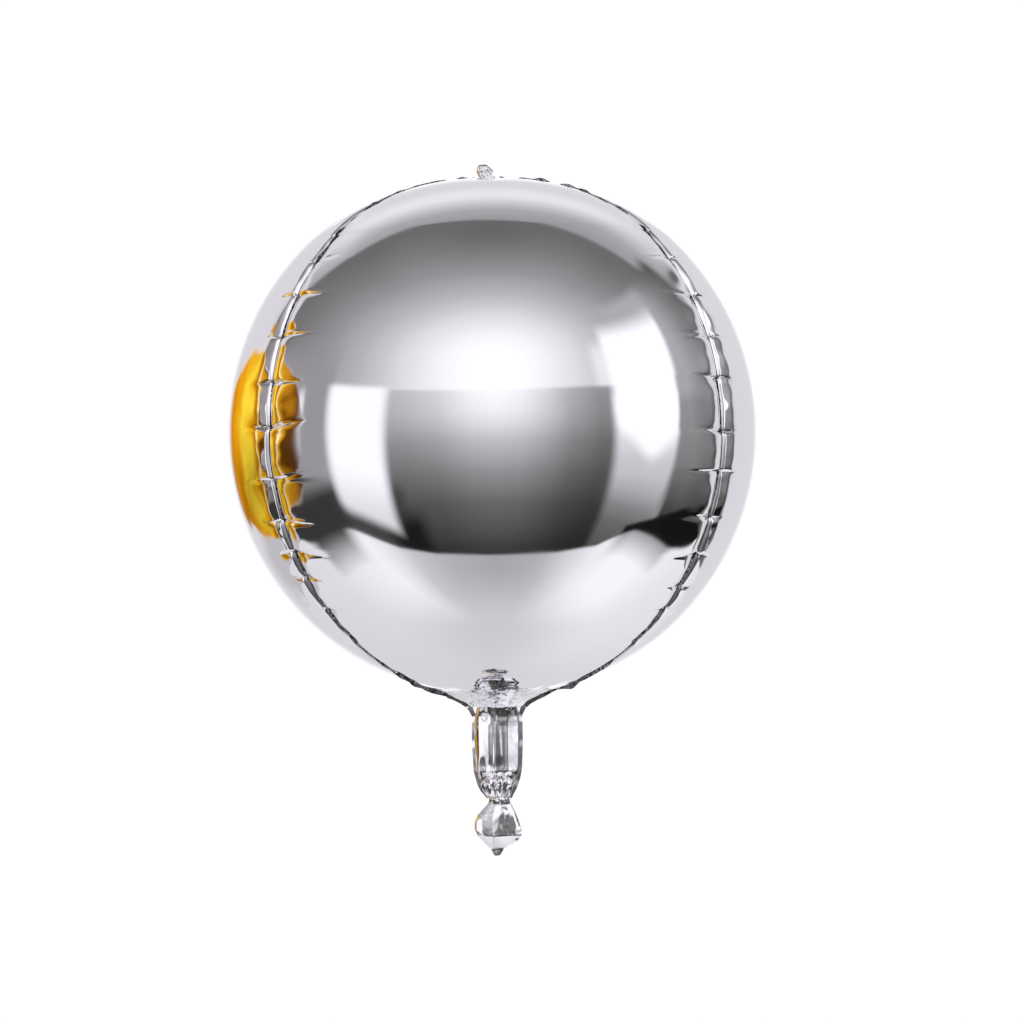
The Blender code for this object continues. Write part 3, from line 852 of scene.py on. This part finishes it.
def makeGather():
    sheet = bmesh.new()
    bmesh.ops.create_circle(
        sheet, segments=gather["segments"], radius=gather["radius"], cap_ends=True, cap_tris=True
    )
    spokes = [e for e in sheet.edges if any(v.co.length < 0.1 * mm for v in e.verts)]
    bmesh.ops.subdivide_edges(sheet, edges=spokes, cuts=gather["rings"])
    for corner in sheet.verts:
        out = corner.co.length
        turn = math.atan2(corner.co.y, corner.co.x)
        share = out / gather["radius"]
        pleat = gather["pleatHeight"] * math.cos(gather["pleats"] * turn + 2.0 * math.sin(3.0 * turn))
        pleat *= smooth(share * 1.6) * (1.1 - share)
        corner.co.z = crownTop * mm + gather["rise"] * (1.0 - share ** 2) + pleat
    bmesh.ops.recalc_face_normals(sheet, faces=sheet.faces)
    if max(sheet.faces, key=lambda f: f.calc_area()).normal.z < 0.0:
        bmesh.ops.reverse_faces(sheet, faces=sheet.faces)
    bmesh.ops.solidify(sheet, geom=sheet.faces, thickness=gather["thickness"])
    return finishPiece("crownGatherPleats", sheet, crumpledFilm, ("crown_gather",))


makeGather()
print("tab and gather made")

# Light tent, seen only in reflections. In degrees: az from the front towards +X, el up from the level
tent = {
    "radius": 6,
    "glow": (
        (0, 1.25), (0.4, 1.03), (0.533, 0.92), (0.667, 0.82), (0.833, 0.663), (1.033, 0.515),
        (1.233, 0.41), (1.367, 0.337), (1.5, 0.293), (1.633, 0.247), (1.767, 0.212), (1.9, 0.186),
        (2.03, 0.166), (2.4, 0.152), (3.4, 0.15),
    ),
    "rear": (
        (0.1, 0.36), (0.18, 0.40), (0.26, 0.44), (0.36, 0.50), (0.435, 0.63), (0.52, 0.83), (0.60, 1),
        (1, 1),
    ),
    "cardAcross": (
        (-54, 0.46), (-45, 0.50), (-38, 0.54), (-25, 0.66), (-10, 0.93), (0, 1),
        (10, 0.93), (20, 0.73), (31, 0.45), (44, 0.29), (54, 0.25),
    ),
    "cardUp": (
        (-56, 0.04), (-50, 0.055), (-43, 0.092), (-30, 0.16), (-17.5, 0.33), (-5, 0.60),
        (1, 0.82), (7, 1), (16, 1.13),
    ),
    "footUp": (
        (-46, 0.09), (-40, 0.12), (-34, 0.16), (-28, 0.26), (-22, 0.45), (-16, 0.60),
        (-10, 0.66), (-4, 0.82), (2, 1.1), (12, 1.1),
    ),
    "boardUp": (
        (-32, 0.02), (-24, 0.07), (-20, 0.11), (-16, 0.145), (-10, 0.23), (-4, 0.26),
        (2, 0.30), (8, 0.32), (12, 0.43), (30, 0.43), (40, 0.36), (48, 0.22),
    ),
    "tableEdge": (
        (-180, 22), (-118, 27), (-100, 31), (-77, 31), (-66, 38.5), (-55, 45),
        (-36, 51), (0, 55), (36, 51), (57, 44.5), (66, 38.5), (74, 34), (98, 33.9),
        (104, 32.4), (112, 29), (118, 25), (180, 22),
    ),
    "table": (
        (-180, 0.71), (-135, 0.76), (-110, 0.80), (-90, 0.90), (-70, 0.99), (-60, 0.85),
        (-50, 0.63), (-40, 0.56), (-30, 0.50), (-20, 0.475), (0, 0.43), (20, 0.47),
        (30, 0.52), (40, 0.66), (50, 0.80), (60, 0.94), (74, 1.03), (92, 1.03), (104, 0.95),
        (118, 0.88), (140, 0.84), (180, 0.71),
    ),
    "tableUnder": 0.665,  # straight below the ball
    "tableFoot": (-88, -56),
    "tableRim": 0.9,  # softness of the far edge
    "darks": "#fffaf7",
    "lights": "#fdfcff",
    "darksToLights": (0.03, 0.45),
    "overheadUp": (27, 30),  # el of the light's middle, and the half height
    "overheadHalf": (60, 54),  # half width to the left and to the right
    "overheadSides": 8,  # degrees of az over which the left half turns into the right
    "overheadNarrow": (55, 78, 0.62),  # from the first el to the second it narrows to this share
    "wallDim": (0.75, 0.88, 36, 48),  # brightness low and high on the wall, and between which el
    # brightness of the light in the wall, how far back it starts and is full
    "wallLight": (1.15, 0.87, 0.985),
    # the wall's edge leans to the right and with height; where it starts and is full
    "wallLean": ((0.106, 1.0, 0.37), 0.525, 0.575),
    "boardAcross": ((80, 1), (92, 1), (104, 0.62), (116, 0.34)),
    "core": 1.18,
    "flag": 0.008,
    # shade of the stands on the table: near and far brightness, depth in degrees, and its two sides
    "shadeRight": (0.42, 1, -10, (62, 70), (106, 98)),
    "shadeLeft": (0.10, 1, -14, (-106, -98), (-72, -82)),
}
# A patch is a brightness and its edges: weight of az, weight of el, least, softness
tentPatches = (
    # pale wall at the left, over the table's far edge
    (0.56, ((-1, 0, 104, 2), (0, -1, 14, 4), (1, 0, -150, 10))),
    # dark corner, dim wall and dark flag round the left softbox, then the softbox
    (0.060, ((1, 0, -80, 2), (-1, 0, 42, 3), (0, -1, 22, 4))),
    (0.012, ((1, 0, -55, 5), (-1, 0, 36, 5), (0, -1, 34, 5))),
    (0.34, ((1, 0, -107, 3), (-1, 0, 73, 1.5), (0, 1, -13, 5), (0, -1, -24, 10))),
    (0.040, ((1, 0, -107, 3), (-1, 0, 74, 2.5), (0, -1, 16, 4.5))),
    (0.80, ((1, 0, -73.6, 3.2), (-1, 0.05, 47.4, 3.2), (0, -1, -16.2, 1.5), (0.6, 1, -69.4, 3.6))),
    (1.12, ((1, 0, -73.6, 3.2), (-1, 0.05, 47.4, 3.2), (0, -1, -16.2, 1.5), (0.3, 1, -40, 12))),
    # a bright slit beside the warm glow
    (0.95, ((1, 0, -91.8, 1.2), (-1, 0, 88.2, 1.2), (0, 1, -5, 3), (0, -1, -13, 3))),
    # bloom and halo of the right softbox
    (0.92, ((1, 0, 44, 3), (-1, 0, -60, 1), (0, 1, 15.5, 1), (0, -1, -31, 4))),
    (0.46, ((1, 0, 56, 5), (-1, 0, -90, 5), (0, 1, 20, 5), (0, -1, -45, 2.5))),
)
greyCard = ((1, 0, -54, 1), (-1, 0, -54, 1), (0, -1, -15.6, 0.6))
softboxFoot = ((1, 0, 51, 3), (-1, 0.15, -82.6, 1.8), (0, -1, -12, 2))
softboxCore = (
    (1, 0, 51, 3), (-1, 0.15, -82.4, 2), (0.75, 1, 41, 5), (-0.75, 1, -62, 5), (0, -1, -36, 4.5),
)
darkBoard = ((1, 0, 82, 1.5), (-1, 0, -117, 3), (0, 1, -34, 2), (0, -1, -46, 2.5))
blackFlag = ((1, 0, 67, 1.5), (-1, 0, -114, 2.5), (0.42, -1, 62.5, 0.9), (0, -1, 21, 1.5))

# A warm glow in the tent's left wall: its reach up and down, its colours across, its brightness upwards
warmGlow = {
    "reach": (
        (-164, 0.5), (-154, 6), (-146, 10.5), (-138, 16), (-130, 20), (-122, 24),
        (-114, 25), (-106, 22), (-98, 18), (-93, 14), (-89, 7),
    ),
    "across": (
        (-162, "#e0a458"), (-150, "#d68a12"), (-141, "#e6a012"), (-133, "#fbd83c"),
        (-127, "#e0a214"), (-121, "#a86a10"), (-116, "#c89022"), (-112, "#fff2bc"),
        (-106, "#e8b232"), (-100, "#c88a1a"), (-94, "#74450a"), (-88, "#4c2d08"),
    ),
    "up": (
        (-28, 0.95), (-18, 0.85), (-8, 0.55), (1, 0.95), (9, 1.20), (17, 1.05), (26, 1),
    ),
    "sway": 18,  # degrees that the colours wander
    "swaySize": 0.16,
    "edgeSway": 0.3,  # share of that for the upper and lower edges
    "soft": 1.2,
    "leftEnd": (-158, -150),
    "rightEnd": (-86, -92),
}


def makeTent():
    material, tree, _ = newMaterial("tentLight")
    tree.nodes.clear()
    coord = addNode(tree, "TexCoord")
    unit = addNode(tree, "VectorMath", {"operation": "NORMALIZE"}, {0: coord.outputs["Object"]})
    x, y, z = addNode(tree, "SeparateXYZ", None, {0: unit}).outputs
    forward = addNode(tree, "Math", {"operation": "MULTIPLY"}, {0: y, 1: -1.0})
    turn = addNode(tree, "Math", {"operation": "ARCTAN2"}, {0: x, 1: forward})
    rise = addNode(tree, "Math", {"operation": "ARCSINE"}, {0: z})
    az = addNode(tree, "Math", {"operation": "DEGREES"}, {0: turn})
    el = addNode(tree, "Math", {"operation": "DEGREES"}, {0: rise})
    place = addNode(tree, "CombineXYZ", None, {0: az, 1: el, 2: 1.0})

    def colourAlong(value, stops, kind="LINEAR"):
        low, high = stops[0][0], stops[-1][0]
        scaled = addNode(tree, "MapRange", {"From Min": low, "From Max": high}, {0: value})
        ramp = addNode(tree, "ValToRGB", None, {0: scaled})
        ramp.color_ramp.interpolation = kind
        elements = ramp.color_ramp.elements
        while len(elements) < len(stops):
            elements.new(0.5)
        for element, (at, colour) in zip(elements, stops):
            element.position = (at - low) / (high - low)
            element.color = colour
        return ramp

    def along(value, stops, kind="LINEAR"):
        # brightness along a value, held in the ramp as shares of the most
        most = max(bright for _, bright in stops)
        greys = [(at, (bright / most, bright / most, bright / most, 1.0)) for at, bright in stops]
        ramp = colourAlong(value, greys, kind)
        return addNode(tree, "Math", {"operation": "MULTIPLY"}, {0: ramp, 1: most})

    def inside(*fades):
        # a fade is a value, where it starts and where it is full
        mask = 1.0
        for value, start, full in fades:
            settings = {"interpolation_type": "SMOOTHSTEP", "From Min": start, "From Max": full}
            mask = addNode(tree, "MapRange", settings, {0: value, "To Max": mask})
        return mask

    def over(below, above, *fades):
        links = {0: inside(*fades), 2: below, 3: above}
        return addNode(tree, "Mix", {"data_type": "FLOAT"}, links)

    def fadesOf(edges):
        for *weights, least, soft in edges:
            settings = {"operation": "DOT_PRODUCT", 1: (*weights, -least)}
            value = addNode(tree, "VectorMath", settings, {0: place})
            yield value.outputs["Value"], -soft, soft

    # glow of the overhead light in front, a little wider to the left
    low, high, share = tent["overheadNarrow"]
    narrow = addNode(
        tree, "MapRange",
        {"From Min": low, "From Max": high, "To Min": 1.0, "To Max": share}, {0: el},
    )
    # half width of the light, and how many of them a direction lies away
    sides = tent["overheadSides"]
    half = over(*tent["overheadHalf"], (az, -sides, sides))
    u = addNode(tree, "MapRange", {"clamp": False}, {0: az, "From Max": half, "To Max": narrow})
    # below its middle the light counts as level
    middle, halfHeight = tent["overheadUp"]
    top = {"From Min": middle, "From Max": middle + 3.0 * halfHeight, "To Max": 3.0}
    v = addNode(tree, "MapRange", top, {0: el})
    away = addNode(tree, "CombineXYZ", None, {0: u, 1: v})
    away = addNode(tree, "VectorMath", {"operation": "LENGTH"}, {0: away})
    light = along(away.outputs["Value"], tent["glow"])
    # pale wall behind, brighter high up, with a light in its middle
    dim, bright, low, high = tent["wallDim"]
    links = {0: along(y, tent["rear"]), 1: over(dim, bright, (el, low, high))}
    wall = addNode(tree, "Math", {"operation": "MULTIPLY"}, links)
    bright, start, full = tent["wallLight"]
    wall = over(wall, bright, (y, start, full))
    slant, start, full = tent["wallLean"]
    lean = addNode(tree, "VectorMath", {"operation": "DOT_PRODUCT", 1: slant}, {0: unit})
    light = over(light, wall, (lean.outputs["Value"], start, full))
    # grey card below the overhead light
    links = {0: along(el, tent["cardUp"]), 1: along(az, tent["cardAcross"])}
    card = addNode(tree, "Math", {"operation": "MULTIPLY"}, links)
    light = over(light, card, *fadesOf(greyCard))
    # board at the right, then the softboxes and flags
    links = {0: along(el, tent["boardUp"]), 1: along(az, tent["boardAcross"])}
    board = addNode(tree, "Math", {"operation": "MULTIPLY"}, links)
    light = over(light, board, *fadesOf(darkBoard))
    for brightness, edges in tentPatches:
        light = over(light, brightness, *fadesOf(edges))
    light = over(light, along(el, tent["footUp"]), *fadesOf(softboxFoot))
    light = over(light, tent["core"], *fadesOf(softboxCore))
    light = over(light, tent["flag"], *fadesOf(blackFlag))
    # pale table, shaded by the stands near its far edge, which hides what is below it
    far = along(az, tent["tableEdge"], "B_SPLINE")
    edge = addNode(tree, "Math", {"operation": "ADD"}, {0: el, 1: far})
    shade = 1.0
    for near, most, deep, leftSide, rightSide in (tent["shadeRight"], tent["shadeLeft"]):
        settings = {"From Min": -1.0, "From Max": deep, "To Min": near, "To Max": most}
        shaded = addNode(tree, "MapRange", settings, {0: edge})
        shade = over(shade, shaded, (az, *leftSide), (az, *rightSide))
    table = over(tent["tableUnder"], along(az, tent["table"]), (el, *tent["tableFoot"]))
    table = addNode(tree, "Math", {"operation": "MULTIPLY"}, {0: table, 1: shade})
    light = over(light, table, (edge, tent["tableRim"], -tent["tableRim"]))
    # darks lean to brown and lights to lilac, as in a room with mixed lamps
    tint = addNode(
        tree, "Mix",
        {"data_type": "RGBA", 6: linear(tent["darks"]), 7: linear(tent["lights"])},
        {0: inside((light, *tent["darksToLights"]))},
    )
    # warm glow: the colours wander a little, as in slack foil
    settings = {"Scale": 1.0 / warmGlow["swaySize"], "Detail": 2.0}
    wander = addNode(tree, "TexNoise", settings, {0: unit})
    settings = {"To Min": -warmGlow["sway"] / 2.0, "To Max": warmGlow["sway"] / 2.0}
    sway = addNode(tree, "MapRange", settings, {0: wander})
    links = {0: sway, 1: warmGlow["edgeSway"], 2: el}
    height = addNode(tree, "Math", {"operation": "MULTIPLY_ADD"}, links)
    height = addNode(tree, "Math", {"operation": "ABSOLUTE"}, {0: height})
    links = {0: height, 1: along(az, warmGlow["reach"])}
    beyond = addNode(tree, "Math", {"operation": "SUBTRACT"}, links)
    soft = warmGlow["soft"]
    mask = inside((az, *warmGlow["rightEnd"]), (az, *warmGlow["leftEnd"]), (beyond, soft, -soft))
    across = addNode(tree, "Math", {"operation": "ADD"}, {0: az, 1: sway})
    upwards = addNode(tree, "Math", {"operation": "ADD"}, {0: el, 1: sway})
    colours = colourAlong(across, [(at, linear(colour)) for at, colour in warmGlow["across"]])
    links = {0: mask, 6: tint.outputs[2], 7: colours}
    warmed = addNode(tree, "Mix", {"data_type": "RGBA"}, links)
    links = {0: mask, 2: light, 3: along(upwards, warmGlow["up"])}
    light = addNode(tree, "Mix", {"data_type": "FLOAT"}, links)
    links = {"Color": warmed.outputs[2], "Strength": light}
    glow = addNode(tree, "Emission", None, links)
    addNode(tree, "OutputMaterial", None, {"Surface": glow})
    material.cycles.emission_sampling = "NONE"
    dome = bmesh.new()
    bmesh.ops.create_uvsphere(dome, u_segments=64, v_segments=32, radius=tent["radius"])
    piece = placeInScene("lightTent", dome, material)
    piece.visible_camera = False
    piece.visible_diffuse = False
    piece.visible_shadow = False


# Pale floor, well under the ball, and an even pale room
room = {
    "floorHalf": 9.0, "floorHeight": -0.62, "paper": "#fbfbfb", "paperRoughness": 0.95, "strength": 1.06,
}


def makeFloor():
    sheet = bmesh.new()
    bmesh.ops.create_grid(sheet, x_segments=2, y_segments=2, size=room["floorHalf"])
    bmesh.ops.translate(sheet, verts=sheet.verts, vec=(0.0, 0.0, room["floorHeight"]))
    # matt paper: it scatters the light evenly and has no shine
    material, _, shader = newMaterial("mattPaperSweep")
    shader.inputs["Base Color"].default_value = linear(room["paper"])
    shader.inputs["Roughness"].default_value = room["paperRoughness"]
    shader.inputs["Specular IOR Level"].default_value = 0.0
    piece = placeInScene("paleFloor", sheet, material)
    piece.visible_glossy = False


def setWorld():
    world = bpy.data.worlds.new("paleRoom")
    bpy.context.scene.world = world
    world.use_nodes = True
    world.node_tree.nodes["Background"].inputs["Color"].default_value = (1.0, 1.0, 1.0, 1.0)
    world.node_tree.nodes["Background"].inputs["Strength"].default_value = room["strength"]
    bpy.context.scene.view_settings.view_transform = "Standard"


setWorld()
makeTent()
makeFloor()
print("light tent and floor set")

# Camera at the photograph's viewing angle: level with the ball, a step to its left
view = {
    "distance": 2.0,
    "elevation": -2.3,
    "azimuth": -1.6,
    "roll": 0.9,
    "middle": (492.1, 433.3),  # pixels of the ball's middle in the frame
    "radiusPixels": 265.2,
    "frame": 1024.0,
    "sensor": 36.0,
}


def setCamera():
    focal = view["radiusPixels"] * math.sqrt((view["distance"] / ball["radius"]) ** 2 - 1.0)
    data = bpy.data.cameras.new("photoCamera")
    data.sensor_width = view["sensor"]
    data.lens = view["sensor"] * focal / view["frame"]
    camera = bpy.data.objects.new("photoCamera", data)
    bpy.context.scene.collection.objects.link(camera)
    azimuth, elevation = math.radians(view["azimuth"]), math.radians(view["elevation"])
    level = math.cos(elevation)
    back = Vector((math.sin(azimuth) * level, -math.cos(azimuth) * level, math.sin(elevation)))
    look = (-back).to_track_quat("-Z", "Y").to_matrix().to_4x4()
    half = view["frame"] / 2.0
    pan = Matrix.Rotation(-math.atan((half - view["middle"][0]) / focal), 4, "Y")
    tilt = Matrix.Rotation(-math.atan((half - view["middle"][1]) / focal), 4, "X")
    roll = Matrix.Rotation(math.radians(-view["roll"]), 4, "Z")
    camera.matrix_world = Matrix.Translation(back * view["distance"]) @ look @ roll @ pan @ tilt
    bpy.context.scene.camera = camera


setCamera()
